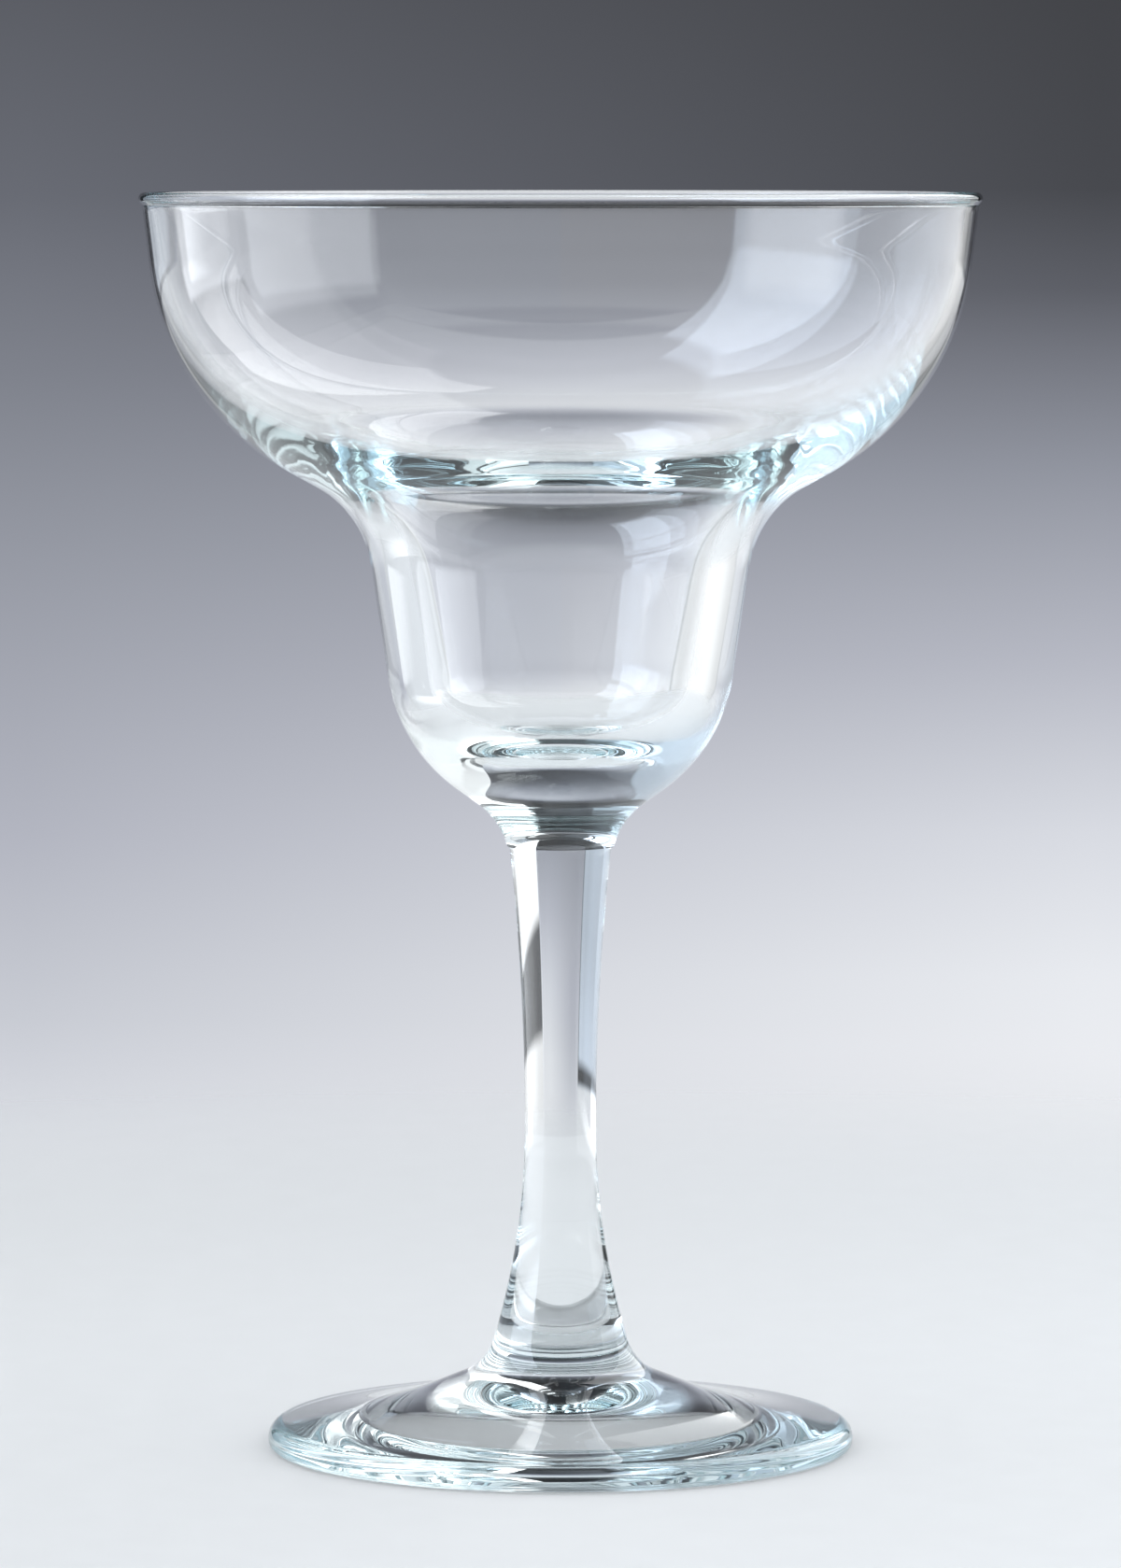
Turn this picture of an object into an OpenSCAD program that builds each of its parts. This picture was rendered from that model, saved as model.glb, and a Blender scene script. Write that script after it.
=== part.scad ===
// Margarita glass in clear soda-lime glass: a blown bowl, a drawn stem and a round foot, fused end to end.
// Each piece is turned about the Z axis, and the glass stands on the plane z = 0. Sizes are in millimetres.

/* [Foot] */
// Outside diameter of the foot
foot_d = 80.6; // [72:0.2:95]
// Height of the boss that carries the stem
foot_h = 18.5; // [15:0.5:26]
// Height of the outer edge, before it is rounded
edge_h = 3.4; // [2.6:0.1:4.5]
// Rounding of the edge at the top
edge_round = 2.3; // [0.5:0.1:2.4]
// Rounding of the edge at the bottom
heel_round = 0.9; // [0.3:0.1:1.2]
// Slope of the top towards the edge, in degrees
rim_slope = 4.5; // [2:0.5:10]
// Slope of the top towards the boss, in degrees
dome_slope = 22.5; // [16:0.5:32]
// Diameter at which the two slopes meet
dome_d = 53.5; // [44:0.5:60]
// Radius of the curve between the two slopes
dome_round = 58; // [20:1:80]
// Fillet between the top and the boss
boss_fillet = 7.5; // [3:0.5:12]
// Diameter of the hollow underneath
hollow_d = 53; // [40:1:66]
// Depth of the hollow underneath
hollow_depth = 6; // [1:0.1:8]

/* [Stem] */
// Length of the stem between its two welds
stem_l = 64.4; // [45:0.2:90]
// Diameter at the foot
stem_foot_d = 16.4; // [13:0.1:18]
// Diameter at the waist
waist_d = 9.8; // [7:0.1:12]
// Height of the waist above the foot's boss
waist_h = 25.6; // [20:0.2:36]
// Diameter at the bowl
stem_top_d = 14; // [12.5:0.1:14.5]

/* [Well] */
// Diameter of the bowl's neck at the weld
neck_d = 14.7; // [14.6:0.1:17]
// Height of the neck, up to the well's base
neck_h = 3.7; // [2:0.1:5]
// Widening of the neck, in degrees from upright
neck_draft = 15.5; // [5:0.5:22]
// Fillet between the neck and the well's base
neck_round = 14; // [4:0.5:18]
// Slope of the well's base, in degrees
base_slope = 35.5; // [30:0.5:42]
// Outside diameter of the well at its shoulder, before it is rounded
well_d = 53.9; // [48:0.1:60]
// Height of the well from its base to its shoulder
well_h = 32.2; // [26:0.2:42]
// Widening of the well, in degrees from upright
well_draft = 8.4; // [4:0.1:10]
// Outside radius of the curve between the well's wall and its base
well_round = 23; // [12:0.5:25]
// Thickness of the well's wall
well_wall = 4.8; // [3:0.1:5.5]
// Widening of the well inside, in degrees from upright
well_inner_draft = 10.4; // [6:0.1:11]
// Thickness of the solid base above the weld
base_t = 14.5; // [10:0.5:16]
// Diameter of the flat at the bottom of the well, inside
dish_d = 16.8; // [10:0.2:20]
// Rise of the inside around that flat, in degrees
dish_slope = 19; // [8:1:22]
// Radius of the curve around that flat
dish_round = 26; // [5:1:40]
// Inside radius of the curve between the well's wall and its bottom
well_inner_round = 15; // [6:0.5:18]

/* [Bowl] */
// Outside diameter of the rim
rim_d = 115; // [106:0.5:130]
// Depth from the rim to the well's shoulder
bowl_h = 43.7; // [38:0.1:56]
// Widening of the upper wall, in degrees from upright
bowl_draft = 6.8; // [4:0.1:10]
// Outside radius of the curve between the upper wall and the ledge
bowl_round = 37.4; // [24:0.2:40]
// Thickness of the upper wall
bowl_wall = 1.5; // [1.2:0.1:2.6]
// Widening of the upper wall inside, in degrees from upright
bowl_inner_draft = 9; // [5:0.1:11]
// Inside radius of the curve between the upper wall and the ledge
bowl_inner_round = 36; // [20:0.5:42]
// Slope of the ledge underneath, in degrees
ledge_slope = 29; // [25:0.5:34]
// Height of the well's mouth above its shoulder, which is how thick the ledge is
ledge_t = 4; // [2.5:0.1:6]
// Slope of the ledge inside, in degrees
ledge_inner_slope = 21.5; // [18:0.5:28]
// Slope of the lip around the well's mouth, in degrees
lip_slope = 20.5; // [12:0.5:24]
// Diameter at which the lip meets the ledge
lip_d = 66.6; // [64:0.2:78]
// Radius of the curve between the lip and the ledge
lip_round = 29; // [5:0.5:40]
// Outside radius of the curve under the ledge
shoulder_round = 14.7; // [6:0.1:18]
// Rounding of the well's mouth
mouth_round = 33; // [10:0.5:45]
// Height of the bead on the rim
bead_h = 1.7; // [1:0.1:2.5]
// Overhang of the bead outside the wall
bead_out = 0.5; // [0.2:0.1:0.8]
// Overhang of the bead inside the wall
bead_in = 0.3; // [0.1:0.1:0.6]
// Rise of the bead's underside, from the wall to its nose
bead_under = 0.6; // [0.2:0.1:0.8]
// Rounding of the bead below its nose
bead_nose = 0.7; // [0.2:0.1:1]
// Fillet under the bead
bead_tuck = 0.25; // [0.1:0.05:0.5]

/* [Hidden] */
glass_colour = [0.85, 0.93, 0.92, 0.4];
// Furthest that a curve may stray from its true arc
curve_error = 0.01;
// Share of a straight that the fillets at its two ends may use up
fillet_share = 0.98;

// Levels, from the foot up
weld_z = foot_h + stem_l;
neck_corner = [neck_d / 2 + neck_h * tan(neck_draft), weld_z + neck_h];
base_r = well_d / 2 - well_h * tan(well_draft);
base_corner = [base_r, neck_corner.y + (base_r - neck_corner.x) * tan(base_slope)];
shoulder = [well_d / 2, base_corner.y + well_h];
rim_z = shoulder.y + bowl_h;

// Outside of the upper bowl
bead_under_z = rim_z - bead_h;
wall_top = [rim_d / 2 - bead_out, bead_under_z];
bowl_corner = meet(wall_top, 90 - bowl_draft, shoulder, ledge_slope);

// Inside of the bowl
inner_wall_top = wall_top - [bowl_wall / cos(bowl_draft), 0];
bead_inner_r = inner_wall_top.x - bead_in;
bead_round = (rim_d / 2 - bead_inner_r) / 2;
bead_nose_z = bead_under_z + bead_under;
mouth_r = well_d / 2 + ledge_t * tan(well_draft) - well_wall / cos(well_draft);
mouth = [mouth_r, shoulder.y + ledge_t];
lip_corner = mouth + (lip_d / 2 - mouth.x) * [1, tan(lip_slope)];
inner_bowl_corner = meet(inner_wall_top, 90 - bowl_inner_draft, lip_corner, ledge_inner_slope);
well_floor_z = weld_z + base_t;
dish_corner = [dish_d / 2, well_floor_z];
well_inner_corner = meet(mouth, 90 - well_inner_draft, dish_corner, dish_slope);

// Stem and foot
waist = [waist_d / 2, foot_h + waist_h];
boss_top = [stem_foot_d / 2, foot_h];
boss_draft = 2 * atan2(boss_top.x - waist.x, waist_h);
dome_corner = [dome_d / 2, edge_h + (foot_d - dome_d) / 2 * tan(rim_slope)];
boss_corner = meet(boss_top, 90 + boss_draft, dome_corner, 180 - dome_slope);

// Direction at an angle from the X axis
function heading(angle) = [cos(angle), sin(angle)];

// Point where the line through p at angle a meets the line through q at angle b
function meet(p, a, q, b) = p + heading(a) * cross(q - p, heading(b)) / cross(heading(a), heading(b));

// Number of straight steps for an arc of a radius that turns by an angle
function arc_steps(radius, turn) = ceil(turn / (2 * acos(1 - min(1, curve_error / radius))));

// Arc that leaves p at an angle and ends at q
function arc_between(p, angle, q) =
    let (ahead = heading(angle), aside = heading(angle + 90), chord = q - p)
    let (turn = 2 * atan2(chord * aside, chord * ahead), radius = chord * chord / (2 * chord * aside))
    let (steps = arc_steps(abs(radius), abs(turn)))
    [for (k = [0:steps]) let (t = turn * k / steps) p + radius * (sin(t) * ahead + (1 - cos(t)) * aside)];

// A corner of an outline is [x, z, fillet radius], or [x, z] where it stays sharp
function corner(point, fillet = 0) = [point.x, point.y, fillet];
function place(c) = [c[0], c[1]];
function toward(c, other) = (place(other) - place(c)) / norm(place(other) - place(c));
function half_angle(list, i) = acos(toward(list[i], list[i - 1]) * toward(list[i], list[i + 1])) / 2;

// Lengths of straight that each corner's fillet uses up
function fillet_runs(list) =
    [for (i = [0:len(list) - 1]) list[i][2] > 0 ? list[i][2] / tan(half_angle(list, i)) : 0];

// Share of a fillet that fits where the next fillet along a straight needs room too
function fillet_fit(list, runs, i, j) =
    min(1, fillet_share * norm(place(list[j]) - place(list[i])) / (runs[i] + runs[j]));

// Points of one corner: its arc, or the corner itself where it stays sharp
function corner_points(list, runs, i) =
    runs[i] == 0 ? [place(list[i])] :
    let (fit = min(fillet_fit(list, runs, i, i - 1), fillet_fit(list, runs, i, i + 1)))
    let (back = toward(list[i], list[i - 1]), on = toward(list[i], list[i + 1]))
    arc_between(
        place(list[i]) + back * runs[i] * fit,
        atan2(-back.y, -back.x),
        place(list[i]) + on * runs[i] * fit
    );

// Outline through a list of corners, with each corner's fillet as an arc
function rounded(list) =
    let (runs = fillet_runs(list))
    [for (i = [0:len(list) - 1]) each corner_points(list, runs, i)];

function reversed(list) = [for (i = [len(list) - 1:-1:0]) list[i]];

// The blown bowl: rim bead, upper bowl, ledge, well and the solid base with its neck
module bowl() {
    outline = [
        corner([0, weld_z]),
        corner([neck_d / 2, weld_z]),
        corner(neck_corner, neck_round),
        corner(base_corner, well_round),
        corner(shoulder, shoulder_round),
        corner(bowl_corner, bowl_round),
        corner(wall_top, bead_tuck),
        corner([rim_d / 2, bead_nose_z], bead_nose),
        corner([rim_d / 2, rim_z], bead_round),
        corner([bead_inner_r, rim_z], bead_round),
        corner([bead_inner_r, bead_nose_z], bead_nose),
        corner(inner_wall_top, bead_tuck),
        corner(inner_bowl_corner, bowl_inner_round),
        corner(lip_corner, lip_round),
        corner(mouth, mouth_round),
        corner(well_inner_corner, well_inner_round),
        corner(dish_corner, dish_round),
        corner([0, well_floor_z])
    ];
    color(glass_colour) rotate_extrude() polygon(rounded(outline));
}

// The solid stem, drawn to a waist, with one arc above it and one below
module stem() {
    lower = reversed(arc_between(waist, -90, boss_top));
    upper = arc_between(waist, 90, [stem_top_d / 2, weld_z]);
    outline = concat([[0, foot_h]], lower, [for (i = [1:len(upper) - 1]) upper[i]], [[0, weld_z]]);
    color(glass_colour) rotate_extrude() polygon(outline);
}

// The foot: a low dome with a rounded edge, a hollow underneath and the boss that carries the stem
module foot() {
    hollow = arc_between([0, hollow_depth], 0, [hollow_d / 2, 0]);
    top = [
        corner([hollow_d / 2 + heel_round, 0]),
        corner([foot_d / 2, 0], heel_round),
        corner([foot_d / 2, edge_h], edge_round),
        corner(dome_corner, dome_round),
        corner(boss_corner, boss_fillet),
        corner(boss_top),
        corner([0, foot_h])
    ];
    color(glass_colour) rotate_extrude() polygon(concat(hollow, rounded(top)));
}

bowl();
stem();
foot();
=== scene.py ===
"""Looks of a clear margarita glass on a pale table in a dark studio.

The glass is a blown bowl, a drawn stem and a round foot, fused to each other.
"""

import cmath
import math

import bmesh
import bpy
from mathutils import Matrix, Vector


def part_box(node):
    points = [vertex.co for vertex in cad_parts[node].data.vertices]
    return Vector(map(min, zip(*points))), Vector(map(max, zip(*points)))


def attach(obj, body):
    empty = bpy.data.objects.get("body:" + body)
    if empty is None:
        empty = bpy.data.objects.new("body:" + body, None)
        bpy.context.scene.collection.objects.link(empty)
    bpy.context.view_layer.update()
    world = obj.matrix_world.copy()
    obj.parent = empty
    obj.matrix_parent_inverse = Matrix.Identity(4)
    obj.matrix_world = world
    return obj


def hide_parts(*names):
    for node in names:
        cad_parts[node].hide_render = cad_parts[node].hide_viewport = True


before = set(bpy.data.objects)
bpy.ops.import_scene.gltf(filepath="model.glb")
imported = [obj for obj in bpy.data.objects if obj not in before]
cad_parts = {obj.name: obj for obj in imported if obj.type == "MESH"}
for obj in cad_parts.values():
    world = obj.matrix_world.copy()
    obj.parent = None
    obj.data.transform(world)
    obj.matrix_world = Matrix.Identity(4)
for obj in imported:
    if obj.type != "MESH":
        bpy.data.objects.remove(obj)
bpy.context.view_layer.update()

# Sizes that the frame gives, in metres. An outline point is a complex number: radius + height * 1j.
MM = 0.001
bowl_low, bowl_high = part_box("bowl")
foot_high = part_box("foot")[1]
RIM_R, RIM_Z, WELD_Z = bowl_high.x, bowl_high.z, bowl_low.z
FOOT_R, BOSS_Z = foot_high.x, foot_high.z

# Foot
EDGE_H = 3.4 * MM
EDGE_ROUND = 2.3 * MM
HEEL_ROUND = 0.9 * MM
RIM_SLOPE = 4.5
DOME_SLOPE = 22.5
DOME_R = 26.75 * MM
DOME_ROUND = 58 * MM
BOSS_FILLET = 7.5 * MM
HOLLOW_R = 26.5 * MM
HOLLOW_DEPTH = 6 * MM

# Stem
BOSS_R = 8.2 * MM
WAIST_R = 4.9 * MM
WAIST_Z = BOSS_Z + 25.6 * MM
STEM_TOP_R = 7 * MM

# Well, from the neck up to the shoulder
NECK_R = 7.35 * MM
NECK_H = 3.7 * MM
NECK_DRAFT = 15.5
NECK_ROUND = 14 * MM
BASE_SLOPE = 35.5
SHOULDER_R = 26.95 * MM
SHOULDER_Z = RIM_Z - 43.7 * MM
WELL_DRAFT = 8.4
WELL_ROUND = 23 * MM
WELL_WALL = 4.8 * MM
WELL_INNER_DRAFT = 10.4
BASE_T = 14.5 * MM
DISH_R = 8.4 * MM
DISH_SLOPE = 19
DISH_ROUND = 26 * MM
WELL_INNER_ROUND = 15 * MM

# Upper bowl, from the ledge up to the bead on the rim
BOWL_DRAFT = 6.8
BOWL_ROUND = 37.4 * MM
BOWL_WALL = 1.5 * MM
BOWL_INNER_DRAFT = 9
BOWL_INNER_ROUND = 36 * MM
LEDGE_SLOPE = 29
LEDGE_T = 4 * MM
LEDGE_INNER_SLOPE = 21.5
LIP_SLOPE = 20.5
LIP_R = 33.3 * MM
LIP_ROUND = 29 * MM
SHOULDER_ROUND = 14.7 * MM
MOUTH_ROUND = 33 * MM
BEAD_H = 1.7 * MM
BEAD_OUT = 0.5 * MM
BEAD_IN = 0.3 * MM
BEAD_TUCK = 0.25 * MM
BEAD_UNDER = 0.6 * MM
BEAD_ROUND = 0.7 * MM

# Meshes: furthest step along an outline, largest turn in one step, steps around the axis, the share of a
# straight that two fillets may take up, the gap in a weld, and how close two points are that count as one
STEP = 0.9 * MM
TURN = math.radians(4)
SEGMENTS = 224
FILLET_SHARE = 0.98
WELD_GAP = 0.02 * MM
SAME = 0.001 * MM

# Glass: its refraction, the tint of thick glass, the slight waves in its skin and a thin uneven film on it
GLASS_IOR = 1.52
GLASS_TINT = (0.6, 0.88, 0.92, 1)
GLASS_TINT_DENSITY = 6
WAVE_SCALE = 60
WAVE_DETAIL = 1
WAVE_STRENGTH = 0.0005
WAVE_DEPTH = 1 * MM
FILM_SCALE = 25
FILM_DETAIL = 3
FILM_SPAN = (0.55, 0.8)
FILM_ROUGHNESS = 0.02

# Directions from the glass are in degrees: around it from straight behind, positive to the right, and height
# from the level. Backdrop: its span in height, its tones from below, and where it ends in the glass.
BACKDROP_SPAN = (-9, 1.4)
BACKDROP_TONES = [
    (0.0, (0.765, 0.79, 0.815)),
    (0.25, (0.70, 0.72, 0.77)),
    (0.4, (0.56, 0.58, 0.63)),
    (0.7, (0.205, 0.215, 0.25)),
    (0.85, (0.10, 0.105, 0.125)),
    (1.0, (0.08, 0.085, 0.10)),
]
BACKDROP_SIDE = (18, 21)
BACKDROP_TOP = (-7, -5)
DARK_ROOM = (0.01, 0.0105, 0.012, 1)

# Panels that show only in the glass: start, end and soft edge around it and in height, then the strength
PANELS = {
    "right window": ((20, 64, 1), (-0.3, 66, 0.4), 1),
    "upper part of the right window": ((20, 64, 1), (9, 66, 2), 1.4),
    "right side": ((64, 100, 2), (4, 66, 2), 0.8),
    "left side": ((-126, -50, 1), (-5, 62, 0.5), 0.66),
    "upper part of the left side": ((-126, -50, 1), (10, 62, 2), 0.5),
    "left window": ((-126, -80, 1), (10, 60, 2), 2.7),
    "right end of the table": ((95, 126, 1), (-22, -8, 2), 1.3),
    "left end of the table": ((-126, -80, 1), (-22, -8, 2), 2.1),
    "left strip of the table": ((-80, -48, 1), (-12, -6, 1), 2.2),
}
PANELS_ON_BOTH_SIDES = {
    "table in front": ((126, 200, 1), (-36, -12, 2), 1.3),
    "room": ((30, 126, 5), (-100, 100, 1), 0.08),
}
ROOM_GLOW = 0.02

# A card on the left that dims upward, and the table on either side: spans, then the strengths from end to end
CARD_AROUND, CARD_HEIGHT = (-50, -21, 1), (-5, 16, 0.3)
CARD_DIMS, CARD_STRENGTHS = (-5, 0), (0.62, 0.47)
TABLE_LEFT_AROUND, TABLE_LEFT_TOP = (-126, -20, 1), (-5.9, -5.5)
TABLE_LEFT_DIMS, TABLE_LEFT_STRENGTHS = (-62, -58), (0.95, 0.68)
TABLE_RIGHT_AROUND, TABLE_RIGHT_TOP = (20, 126, 1), (-4.5, -3.7)
TABLE_RIGHT_DIMS, TABLE_RIGHT_STRENGTHS = (20, 44), (0.75, 1)

# Light: cool from the left and plain from the right, less cool off the table, and what the table itself gets
COOL_LIGHT = (0.84, 0.96, 1.12, 1)
PLAIN_LIGHT = (0.98, 0.99, 1, 1)
COOL_TO_PLAIN = (-10, 10)
TABLE_PLAINNESS = 0.7
SOFT_STRENGTH = 1.2
SHADE_STRENGTH = 1.5

# Table: its radius and corners, how far it lies below the foot, where it fades out, its grain and its tones
TABLE_R = 600 * MM
TABLE_SEGMENTS = 96
TABLE_DROP = 0.2 * MM
TABLE_FADE = (250 * MM, 500 * MM)
GRAIN_SCALE = 140
GRAIN_DETAIL = 4
GRAIN_STRENGTH = 0.05
GRAIN_DEPTH = 0.5 * MM
TABLE_TONES = [(0.3, (0.765, 0.79, 0.815)), (0.7, (0.775, 0.80, 0.825))]
TABLE_ROUGHNESS = (0.5, 0.7)
TABLE_SPECULAR = 0.15

# Table's painted light and shade in its colour: brighter to the right, dimmer to the back,
# and a painted glow in front and on the left for the glass
PAINTED_LIGHT_SPAN, PAINTED_LIGHT_RANGE = (-200 * MM, 200 * MM), (0.93, 1.05)
PAINTED_SHADE_SPAN, PAINTED_SHADE_SHARE = (50 * MM, 250 * MM), 0.05
GLOW_FRONT = (-125 * MM, -100 * MM)
GLOW_LEFT, GLOW_LEFT_SHARE = (-200 * MM, -150 * MM), 0.7
GLOW_STRENGTH = 0.8

# Where the table ends on the left and in front for everything but the camera
TABLE_END_LEFT = (-245 * MM, -235 * MM)
TABLE_END_FRONT = (-220 * MM, -210 * MM)

# Wall behind the table: how far behind the glass, half its width, its height, the span of its painted light
# and shade, and its glowing tones from below, which are painted light and shade
WALL_AWAY = 600 * MM
WALL_HALF = 220 * MM
WALL_TOP = 330 * MM
WALL_LOW = -87 * MM
WALL_HIGH = 219 * MM
WALL_LEFT_TO_RIGHT = (-114 * MM, 114 * MM)
WALL_LEFT_PAINTED_LIGHT = [
    (0.0, (0.75, 0.775, 0.805)),
    (0.17, (0.71, 0.73, 0.785)),
    (0.26, (0.58, 0.60, 0.655)),
    (0.39, (0.45, 0.465, 0.53)),
    (0.58, (0.31, 0.325, 0.375)),
    (0.71, (0.213, 0.225, 0.263)),
    (0.835, (0.14, 0.148, 0.175)),
    (1.0, (0.10, 0.105, 0.122)),
]
WALL_RIGHT_PAINTED_LIGHT = [
    (0.0, (0.775, 0.80, 0.825)),
    (0.195, (0.84, 0.855, 0.89)),
    (0.29, (0.81, 0.83, 0.87)),
    (0.39, (0.69, 0.71, 0.765)),
    (0.51, (0.475, 0.49, 0.555)),
    (0.645, (0.285, 0.30, 0.35)),
    (0.77, (0.11, 0.115, 0.135)),
    (0.84, (0.065, 0.068, 0.078)),
    (1.0, (0.055, 0.057, 0.064)),
]

# Camera, for a frame of 1200 by 1679
CAMERA_AWAY = 1075 * MM
CAMERA_Z = 178.1 * MM
CAMERA_TILT = 4.61
CAMERA_LENS = 180.56
CAMERA_SENSOR = 36
CAMERA_NEAR = 10 * MM
CAMERA_FAR = 20

# Light crosses some twenty faces of the ledge before it leaves the glass
BOUNCES = 48
CLEAR_BOUNCES = 32

# Sockets of a colour Mix node, which share their names with those for numbers
MIX_FIRST, MIX_SECOND, MIX_RESULT = 6, 7, 2


class Channel:
    """One output of a node. Arithmetic on it adds Math nodes."""

    def __init__(self, nodes, node, output=0):
        self.nodes = nodes
        self.node = node
        self.socket = node.outputs[output]

    def out(self, name):
        return Channel(self.nodes, self.node, name)

    def math(self, operation, *values):
        return self.nodes.add("Math", {"operation": operation}, dict(enumerate(values)))

    def __add__(self, other):
        return self.math("ADD", self, other)

    def __radd__(self, other):
        return self.math("ADD", other, self)

    def __sub__(self, other):
        return self.math("SUBTRACT", self, other)

    def __rsub__(self, other):
        return self.math("SUBTRACT", other, self)

    def __mul__(self, other):
        return self.math("MULTIPLY", self, other)

    def __rmul__(self, other):
        return self.math("MULTIPLY", other, self)

    def larger(self, other):
        return self.math("MAXIMUM", self, other)

    def ramp(self, low, high, kind="SMOOTHSTEP"):
        """0 below low and 1 above high."""
        settings = {"interpolation_type": kind}
        return self.nodes.add("MapRange", settings, {"Value": self, "From Min": low, "From Max": high})

    def between(self, start, end):
        """start at 0 and end at 1."""
        return self * (end - start) + start

    def window(self, low, high, soft):
        """1 from low to high, with soft edges."""
        return self.ramp(low - soft, low + soft) * (1 - self.ramp(high - soft, high + soft))


class Nodes:
    """The node tree of a material or of the world."""

    def __init__(self, owner):
        owner.use_nodes = True
        self.tree = owner.node_tree
        self.tree.nodes.clear()

    def add(self, kind, settings=None, sockets=None, output=0):
        node = self.tree.nodes.new("ShaderNode" + kind)
        for name, value in (settings or {}).items():
            if name == "stops":
                self.set_stops(node.color_ramp, value)
            else:
                setattr(node, name, value)
        for name, value in (sockets or {}).items():
            if isinstance(value, Channel):
                self.tree.links.new(value.socket, node.inputs[name])
            else:
                node.inputs[name].default_value = value
        return Channel(self, node, output) if node.outputs else node

    def scaled(self, colour, amount):
        return self.add("VectorMath", {"operation": "SCALE"}, {0: colour, "Scale": amount})

    def mixed(self, factor, first, second):
        sockets = {"Factor": factor, MIX_FIRST: first, MIX_SECOND: second}
        return self.add("Mix", {"data_type": "RGBA"}, sockets, output=MIX_RESULT)

    def set_stops(self, ramp, stops):
        while len(ramp.elements) < len(stops):
            ramp.elements.new(1)
        for element, (position, colour) in zip(ramp.elements, stops):
            element.position = position
            element.color = (*colour, 1)


def heading(degrees):
    return cmath.rect(1, math.radians(degrees))


def cross(a, b):
    return (a.conjugate() * b).imag


def meet(p, a, q, b):
    """Point where the line through p at angle a meets the line through q at angle b."""
    return p + heading(a) * cross(q - p, heading(b)) / cross(heading(a), heading(b))


def arc(p, ahead, q):
    """Arc that leaves p along the direction ahead and ends at q."""
    chord = (q - p) / ahead
    turn = 2 * cmath.phase(chord)
    radius = abs(chord) ** 2 / (2 * chord.imag)
    steps = math.ceil(max(abs(turn) / TURN, abs(turn * radius) / STEP))
    turns = [turn * k / steps for k in range(steps + 1)]
    return [p + ahead * radius * complex(math.sin(t), 1 - math.cos(t)) for t in turns]


def unit(vector):
    return vector / abs(vector)


def rounded(corners):
    """Outline through (point, fillet) corners.

    A fillet shrinks where it and the next one overrun the straight between them.
    """
    points = [point for point, fillet in corners]
    runs = []
    for i, (point, fillet) in enumerate(corners):
        if fillet:
            half = abs(cmath.phase((points[i + 1] - point) / (points[i - 1] - point))) / 2
            runs.append(fillet / math.tan(half))
        else:
            runs.append(0)
    path = []
    for i, point in enumerate(points):
        if not runs[i]:
            path.append(point)
            continue
        fit = min(1, *(FILLET_SHARE * abs(points[j] - point) / (runs[i] + runs[j]) for j in (i - 1, i + 1)))
        back, on = unit(points[i - 1] - point), unit(points[i + 1] - point)
        path += arc(point + back * runs[i] * fit, -back, point + on * runs[i] * fit)
    return path


def stepped(path):
    """The same outline with no step longer than STEP, and no point twice."""
    points = [path[0]]
    for point in path[1:]:
        start, run = points[-1], abs(point - points[-1])
        if run < SAME:
            continue
        steps = math.ceil(run / STEP)
        points += [start + (point - start) * k / steps for k in range(1, steps + 1)]
    return points


def spin(name, path, sharp, welds):
    """A closed piece turned about the Z axis. Its outline runs from the axis to the axis.

    sharp lists the outline's points that stay crisp. welds gives (height, radius) of the fused discs.
    """
    points = stepped(path)
    mesh = bpy.data.meshes.new(name)
    shape = bmesh.new()
    weld = shape.faces.layers.float.new("weld")
    turns = [cmath.rect(1, 2 * math.pi * k / SEGMENTS) for k in range(SEGMENTS)]
    rings = []
    for point in points:
        around = [point.real * turn for turn in turns] if point.real > SAME else [0j]
        rings.append([shape.verts.new((p.real, p.imag, point.imag)) for p in around])
    for i, (lower, upper) in enumerate(zip(rings, rings[1:])):
        fused = any(
            max(abs(points[i].imag - height), abs(points[i + 1].imag - height)) < SAME
            and max(points[i].real, points[i + 1].real) < radius + SAME
            for height, radius in welds
        )
        for k in range(SEGMENTS):
            j = (k + 1) % SEGMENTS
            if len(lower) == 1:
                corners = (lower[0], upper[j], upper[k])
            elif len(upper) == 1:
                corners = (lower[k], lower[j], upper[0])
            else:
                corners = (lower[k], lower[j], upper[j], upper[k])
            face = shape.faces.new(corners)
            face.smooth = True
            face[weld] = float(fused)
    bmesh.ops.recalc_face_normals(shape, faces=shape.faces)
    for ring, point in zip(rings, points):
        if any(abs(point - crisp) < SAME for crisp in sharp) and len(ring) > 1:
            for k in range(SEGMENTS):
                shape.edges.get((ring[k], ring[k - 1])).smooth = False
    shape.to_mesh(mesh)
    shape.free()
    piece = bpy.data.objects.new(name, mesh)
    bpy.context.scene.collection.objects.link(piece)
    return piece


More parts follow.
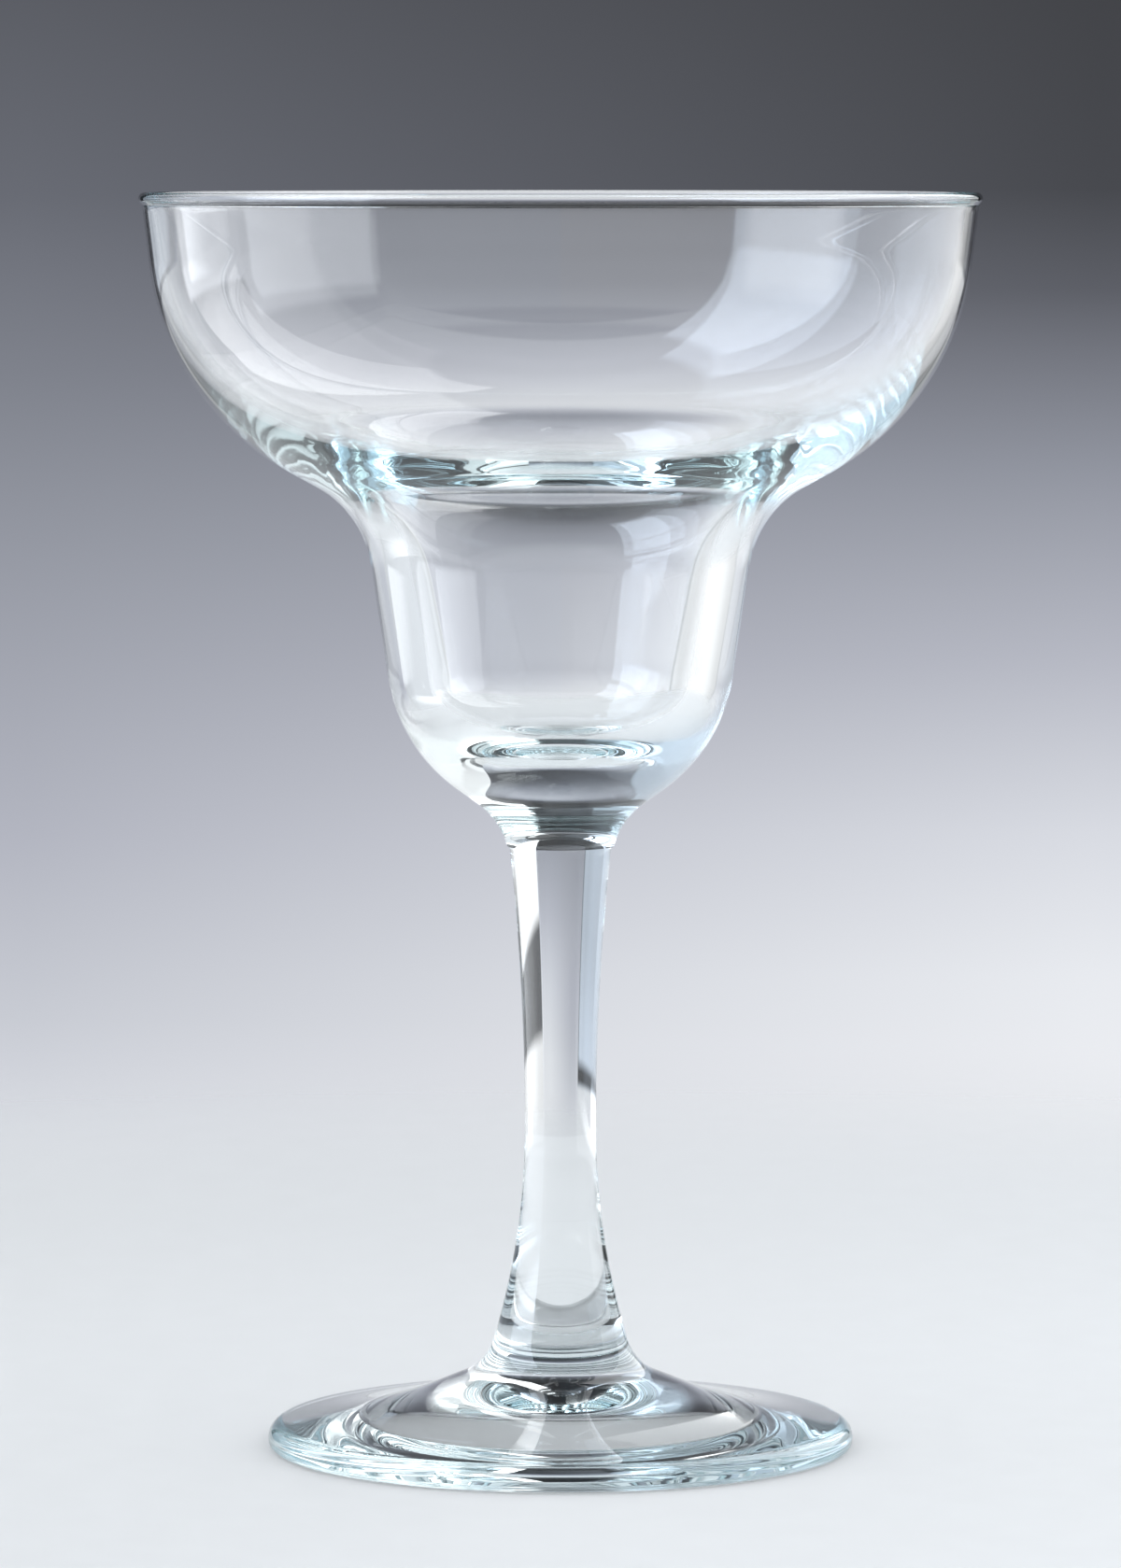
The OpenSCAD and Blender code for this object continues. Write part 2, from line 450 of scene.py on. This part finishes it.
def bowl_path():
    neck = complex(NECK_R + NECK_H * math.tan(math.radians(NECK_DRAFT)), WELD_Z + NECK_H)
    shoulder = complex(SHOULDER_R, SHOULDER_Z)
    base = meet(shoulder, 90 - WELL_DRAFT, neck, BASE_SLOPE)
    under_bead = RIM_Z - BEAD_H
    wall_top = complex(RIM_R - BEAD_OUT, under_bead)
    bowl_corner = meet(wall_top, 90 - BOWL_DRAFT, shoulder, LEDGE_SLOPE)
    inner_top = wall_top - BOWL_WALL / math.cos(math.radians(BOWL_DRAFT))
    bead_inner_r = inner_top.real - BEAD_IN
    bead_top_round = (RIM_R - bead_inner_r) / 2
    draft = math.radians(WELL_DRAFT)
    mouth = shoulder + complex(LEDGE_T * math.tan(draft) - WELL_WALL / math.cos(draft), LEDGE_T)
    lip = mouth + (LIP_R - mouth.real) * complex(1, math.tan(math.radians(LIP_SLOPE)))
    inner_corner = meet(inner_top, 90 - BOWL_INNER_DRAFT, lip, LEDGE_INNER_SLOPE)
    dish = complex(DISH_R, WELD_Z + BASE_T)
    well_corner = meet(mouth, 90 - WELL_INNER_DRAFT, dish, DISH_SLOPE)
    return rounded([
        (complex(0, WELD_Z), 0),
        (complex(STEM_TOP_R, WELD_Z), 0),
        (complex(NECK_R, WELD_Z), 0),
        (neck, NECK_ROUND),
        (base, WELL_ROUND),
        (shoulder, SHOULDER_ROUND),
        (bowl_corner, BOWL_ROUND),
        (wall_top, BEAD_TUCK),
        (complex(RIM_R, under_bead + BEAD_UNDER), BEAD_ROUND),
        (complex(RIM_R, RIM_Z), bead_top_round),
        (complex(bead_inner_r, RIM_Z), bead_top_round),
        (complex(bead_inner_r, under_bead + BEAD_UNDER), BEAD_ROUND),
        (inner_top, BEAD_TUCK),
        (inner_corner, BOWL_INNER_ROUND),
        (lip, LIP_ROUND),
        (mouth, MOUTH_ROUND),
        (well_corner, WELL_INNER_ROUND),
        (dish, DISH_ROUND),
        (complex(0, WELD_Z + BASE_T), 0),
    ])


def stem_path():
    waist = complex(WAIST_R, WAIST_Z)
    low, high = complex(BOSS_R, BOSS_Z + WELD_GAP), complex(STEM_TOP_R, WELD_Z - WELD_GAP)
    return [1j * low.imag] + arc(waist, -1j, low)[::-1] + arc(waist, 1j, high)[1:] + [1j * high.imag]


def foot_path():
    draft = math.degrees(2 * math.atan2(BOSS_R - WAIST_R, WAIST_Z - BOSS_Z))
    boss_top = complex(BOSS_R, BOSS_Z)
    dome = complex(DOME_R, EDGE_H + (FOOT_R - DOME_R) * math.tan(math.radians(RIM_SLOPE)))
    boss = meet(boss_top, 90 + draft, dome, 180 - DOME_SLOPE)
    return arc(1j * HOLLOW_DEPTH, 1, complex(HOLLOW_R, 0)) + rounded([
        (complex(HOLLOW_R + HEEL_ROUND, 0), 0),
        (complex(FOOT_R, 0), HEEL_ROUND),
        (complex(FOOT_R, EDGE_H), EDGE_ROUND),
        (dome, DOME_ROUND),
        (boss, BOSS_FILLET),
        (boss_top, 0),
        (complex(0, BOSS_Z), 0),
    ])


def clear_glass():
    """Fire-polished glass, faintly blue-green where it is thick. The fused discs in the welds don't show."""
    material = bpy.data.materials.new("clear_glass")
    nodes = Nodes(material)
    place = nodes.add("TexCoord", output="Object")
    wave = nodes.add("TexNoise", {}, {"Vector": place, "Scale": WAVE_SCALE, "Detail": WAVE_DETAIL})
    bump = nodes.add("Bump", {}, {"Strength": WAVE_STRENGTH, "Distance": WAVE_DEPTH, "Height": wave})
    film = nodes.add("TexNoise", {}, {"Vector": place, "Scale": FILM_SCALE, "Detail": FILM_DETAIL})
    roughness = film.ramp(*FILM_SPAN) * FILM_ROUGHNESS
    glass = nodes.add("BsdfPrincipled", {}, {
        "Base Color": (1, 1, 1, 1),
        "Roughness": roughness,
        "IOR": GLASS_IOR,
        "Transmission Weight": 1,
        "Normal": bump,
    })
    weld = nodes.add("Attribute", {"attribute_name": "weld"}, output="Fac")
    through = nodes.add("BsdfTransparent")
    surface = nodes.add("MixShader", {}, {0: weld, 1: glass, 2: through})
    tint = nodes.add("VolumeAbsorption", {}, {"Color": GLASS_TINT, "Density": GLASS_TINT_DENSITY})
    nodes.add("OutputMaterial", {}, {"Surface": surface, "Volume": tint})
    return material


def panel_light(around, wide, height):
    """Strength of the panels, the card and the table on either side, by direction."""
    panels = ROOM_GLOW
    for side, shapes in ((around, PANELS), (wide, PANELS_ON_BOTH_SIDES)):
        for across, up, strength in shapes.values():
            panels = panels + side.window(*across) * height.window(*up) * strength
    card = around.window(*CARD_AROUND) * height.window(*CARD_HEIGHT)
    left = around.window(*TABLE_LEFT_AROUND) * (1 - height.ramp(*TABLE_LEFT_TOP))
    right = around.window(*TABLE_RIGHT_AROUND) * (1 - height.ramp(*TABLE_RIGHT_TOP))
    return (
        panels
        + card * height.ramp(*CARD_DIMS).between(*CARD_STRENGTHS)
        + left * around.ramp(*TABLE_LEFT_DIMS).between(*TABLE_LEFT_STRENGTHS)
        + right * around.ramp(*TABLE_RIGHT_DIMS).between(*TABLE_RIGHT_STRENGTHS)
    )


def studio():
    """A dark backdrop, soft panels around the glass that show only in it, and soft light for the table."""
    world = bpy.data.worlds.new("studio")
    bpy.context.scene.world = world
    nodes = Nodes(world)
    split = nodes.add("SeparateXYZ", {}, {0: nodes.add("TexCoord", output="Generated")})
    x, y, z = split.out("X"), split.out("Y"), split.out("Z")
    height = z.math("ARCSINE", z) * math.degrees(1)
    around = x.math("ARCTAN2", x, y) * math.degrees(1)
    wide = around.math("ABSOLUTE", around)
    backdrop = nodes.add("ValToRGB", {"stops": BACKDROP_TONES}, {0: height.ramp(*BACKDROP_SPAN, "LINEAR")})
    straight_behind = (1 - wide.ramp(*BACKDROP_SIDE)) * (1 - height.ramp(*BACKDROP_TOP))
    seen = nodes.mixed(straight_behind, DARK_ROOM, backdrop)
    off_table = (1 - height.ramp(*TABLE_LEFT_TOP)) * TABLE_PLAINNESS
    tint = nodes.mixed(around.ramp(*COOL_TO_PLAIN).larger(off_table), COOL_LIGHT, PLAIN_LIGHT)
    glow = nodes.scaled(tint, panel_light(around, wide, height))
    in_view = nodes.add("Background", {}, {"Color": backdrop, "Strength": 1})
    behind = nodes.add("Background", {}, {"Color": seen, "Strength": 1})
    lit = nodes.add("Background", {}, {"Color": glow, "Strength": 1})
    shade = nodes.add("Background", {}, {"Color": PLAIN_LIGHT, "Strength": SHADE_STRENGTH})
    soft = nodes.add("Background", {}, {"Color": PLAIN_LIGHT, "Strength": SOFT_STRENGTH})
    rays = nodes.add("LightPath", output="Is Camera Ray")
    mirrored = rays.out("Is Glossy Ray").larger(rays.out("Is Transmission Ray"))
    from_table = rays.out("Diffuse Depth").ramp(0, 1)
    around_glass = nodes.add("AddShader", {}, {0: behind, 1: lit})
    in_glass = nodes.add("MixShader", {}, {0: from_table, 1: around_glass, 2: shade})
    light = nodes.add("MixShader", {}, {0: mirrored, 1: soft, 2: in_glass})
    shown = nodes.add("MixShader", {}, {0: rays, 1: light, 2: in_view})
    nodes.add("OutputWorld", {}, {"Surface": shown})


def back_wall():
    """A glowing wall behind the table, seen from the front alone. Its colour is painted light and shade: pale
    at its foot, where light from the right grazes it, and darker upward.
    """
    material = bpy.data.materials.new("back_wall")
    nodes = Nodes(material)
    split = nodes.add("SeparateXYZ", {}, {0: nodes.add("TexCoord", output="Object")})
    up = split.out("Z").ramp(WALL_LOW, WALL_HIGH, "LINEAR")
    # Painted light and shade: the wall glows pale at its foot, paler on the right, and darker upward
    left = nodes.add("ValToRGB", {"stops": WALL_LEFT_PAINTED_LIGHT}, {0: up})
    right = nodes.add("ValToRGB", {"stops": WALL_RIGHT_PAINTED_LIGHT}, {0: up})
    across = split.out("X").ramp(*WALL_LEFT_TO_RIGHT, "LINEAR")
    glow = nodes.add("Emission", {}, {"Color": nodes.mixed(across, left, right), "Strength": 1})
    away = nodes.add("NewGeometry", output="Backfacing")
    surface = nodes.add("MixShader", {}, {0: away, 1: glow, 2: nodes.add("BsdfTransparent")})
    nodes.add("OutputMaterial", {}, {"Surface": surface})
    left, right = -WALL_HALF, WALL_HALF
    corners = [(left, WALL_LOW), (right, WALL_LOW), (right, WALL_TOP), (left, WALL_TOP)]
    mesh = bpy.data.meshes.new("back_wall")
    mesh.from_pydata([(x, 0, z) for x, z in corners], [], [(0, 1, 2, 3)])
    mesh.materials.append(material)
    wall = bpy.data.objects.new("back_wall", mesh)
    wall.location.y = WALL_AWAY
    bpy.context.scene.collection.objects.link(wall)


def table_top():
    """A round of pale table under the glass that fades out, so that it keeps the shadow and has no edge."""
    material = bpy.data.materials.new("pale_table")
    nodes = Nodes(material)
    place = nodes.add("TexCoord", output="Object")
    split = nodes.add("SeparateXYZ", {}, {0: place})
    x, y = split.out("X"), split.out("Y")
    radius = nodes.add("VectorMath", {"operation": "LENGTH"}, {0: place}, output="Value")
    grain = nodes.add("TexNoise", {}, {"Vector": place, "Scale": GRAIN_SCALE, "Detail": GRAIN_DETAIL})
    tone = nodes.add("ValToRGB", {"stops": TABLE_TONES}, {0: grain})
    # Painted light and shade in the table's colour: lighter to the right, darker to the back
    light = x.ramp(*PAINTED_LIGHT_SPAN).between(*PAINTED_LIGHT_RANGE) - y.ramp(*PAINTED_SHADE_SPAN) * PAINTED_SHADE_SHARE
    rays = nodes.add("LightPath", output="Is Camera Ray")
    # Painted glow: the table emits in front and on the left for all but camera rays, so it shows as light in
    # the glass
    painted_glow_mask = (1 - y.ramp(*GLOW_FRONT)).larger((1 - x.ramp(*GLOW_LEFT)) * GLOW_LEFT_SHARE)
    bump = {"Strength": GRAIN_STRENGTH, "Distance": GRAIN_DEPTH, "Height": grain}
    surface = nodes.add("BsdfPrincipled", {}, {
        "Base Color": nodes.scaled(tone, light),
        "Roughness": grain.between(*TABLE_ROUGHNESS),
        "Specular IOR Level": TABLE_SPECULAR,
        "Normal": nodes.add("Bump", {}, bump),
        "Emission Color": nodes.scaled(tone, painted_glow_mask * (1 - rays)),
        "Emission Strength": GLOW_STRENGTH,
    })
    ended = x.ramp(*TABLE_END_LEFT) * y.ramp(*TABLE_END_FRONT)
    kept = (1 - radius.ramp(*TABLE_FADE)) * ended.larger(rays)
    faded = nodes.add("MixShader", {}, {0: kept, 1: nodes.add("BsdfTransparent"), 2: surface})
    nodes.add("OutputMaterial", {}, {"Surface": faded})
    shape = bmesh.new()
    bmesh.ops.create_circle(shape, cap_ends=True, segments=TABLE_SEGMENTS, radius=TABLE_R)
    mesh = bpy.data.meshes.new("table_top")
    shape.to_mesh(mesh)
    shape.free()
    mesh.materials.append(material)
    table = bpy.data.objects.new("table_top", mesh)
    table.location.z = -TABLE_DROP
    bpy.context.scene.collection.objects.link(table)


def camera():
    data = bpy.data.cameras.new("camera")
    data.sensor_width = CAMERA_SENSOR
    data.lens = CAMERA_LENS
    data.clip_start = CAMERA_NEAR
    data.clip_end = CAMERA_FAR
    eye = bpy.data.objects.new("camera", data)
    eye.location = (0, -CAMERA_AWAY, CAMERA_Z)
    eye.rotation_euler = (math.radians(90 - CAMERA_TILT), 0, 0)
    bpy.context.scene.collection.objects.link(eye)
    bpy.context.scene.camera = eye


glass = clear_glass()
bowl_crisp = [complex(STEM_TOP_R, WELD_Z), complex(NECK_R, WELD_Z)]
stem_crisp = [complex(STEM_TOP_R, WELD_Z - WELD_GAP), complex(BOSS_R, BOSS_Z + WELD_GAP)]
for node, path, crisp, welds in (
    ("bowl", bowl_path(), bowl_crisp, [(WELD_Z, STEM_TOP_R)]),
    ("stem", stem_path(), stem_crisp, [(WELD_Z - WELD_GAP, STEM_TOP_R), (BOSS_Z + WELD_GAP, BOSS_R)]),
    ("foot", foot_path(), [complex(BOSS_R, BOSS_Z)], [(BOSS_Z, BOSS_R)]),
):
    piece = spin("glass_" + node, path, crisp, welds)
    piece.data.materials.append(glass)
    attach(piece, "root")
    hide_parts(node)

studio()
back_wall()
table_top()
camera()
scene = bpy.context.scene
scene.view_settings.view_transform = "Standard"
scene.cycles.max_bounces = BOUNCES
scene.cycles.transmission_bounces = BOUNCES
scene.cycles.glossy_bounces = BOUNCES
scene.cycles.transparent_max_bounces = CLEAR_BOUNCES
